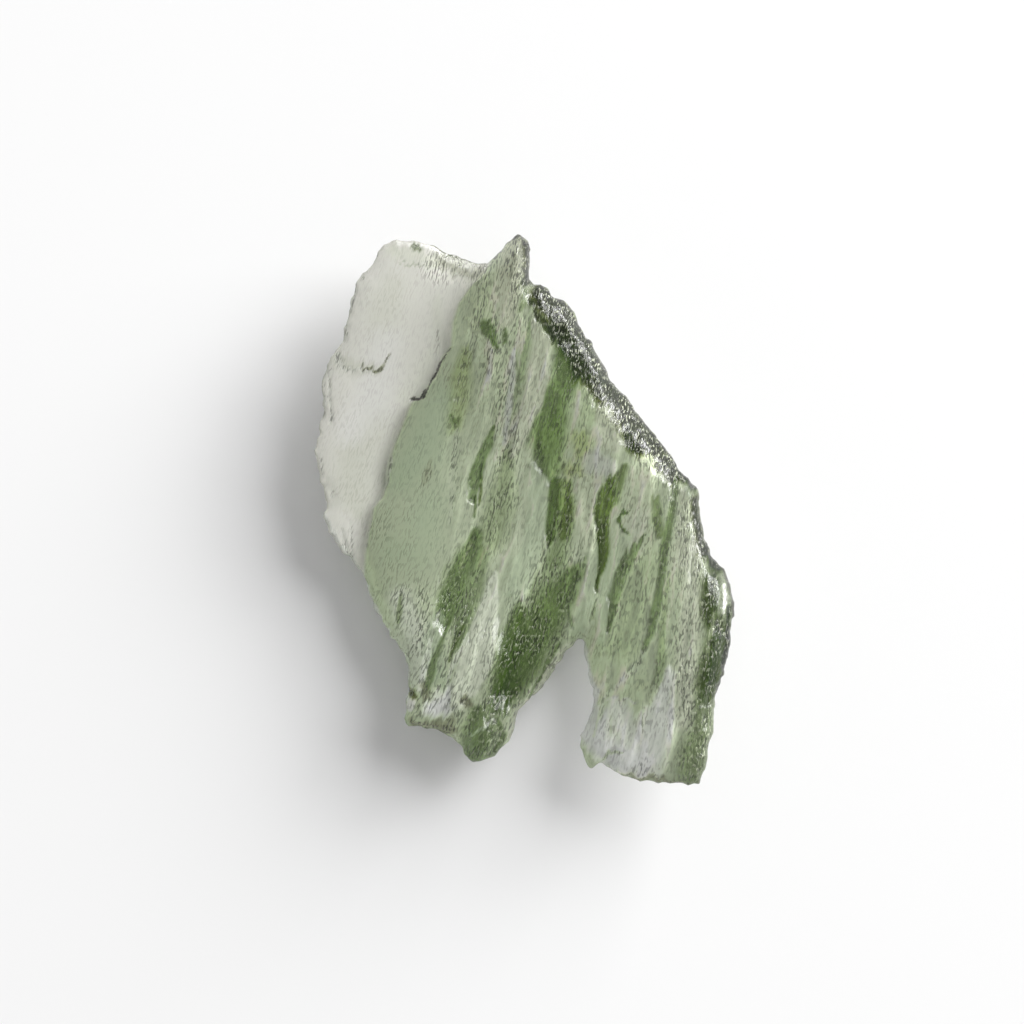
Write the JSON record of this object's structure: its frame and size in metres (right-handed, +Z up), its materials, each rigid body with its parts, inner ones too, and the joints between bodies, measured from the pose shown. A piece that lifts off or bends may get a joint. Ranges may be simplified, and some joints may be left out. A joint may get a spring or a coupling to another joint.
{
  "type": "moldavite",
  "caption": "Flat fluted piece of natural green glass with a thin clear lip, a small horn and a notch between its legs.",
  "frame": {"origin": "under the middle of the stone's box, on the surface it rests on", "axes": "+Y along the length towards the small horn, +X to the right across the stone, +Z up out of its sculpted face"},
  "size_m": [0.023, 0.0302, 0.0056],
  "materials": {
    "green_glass": "clear to mid green natural glass, fluted and etched, satin to glossy"
  },
  "bodies": {
    "root": {"moldavite": "green_glass"}
  },
  "joints": []
}
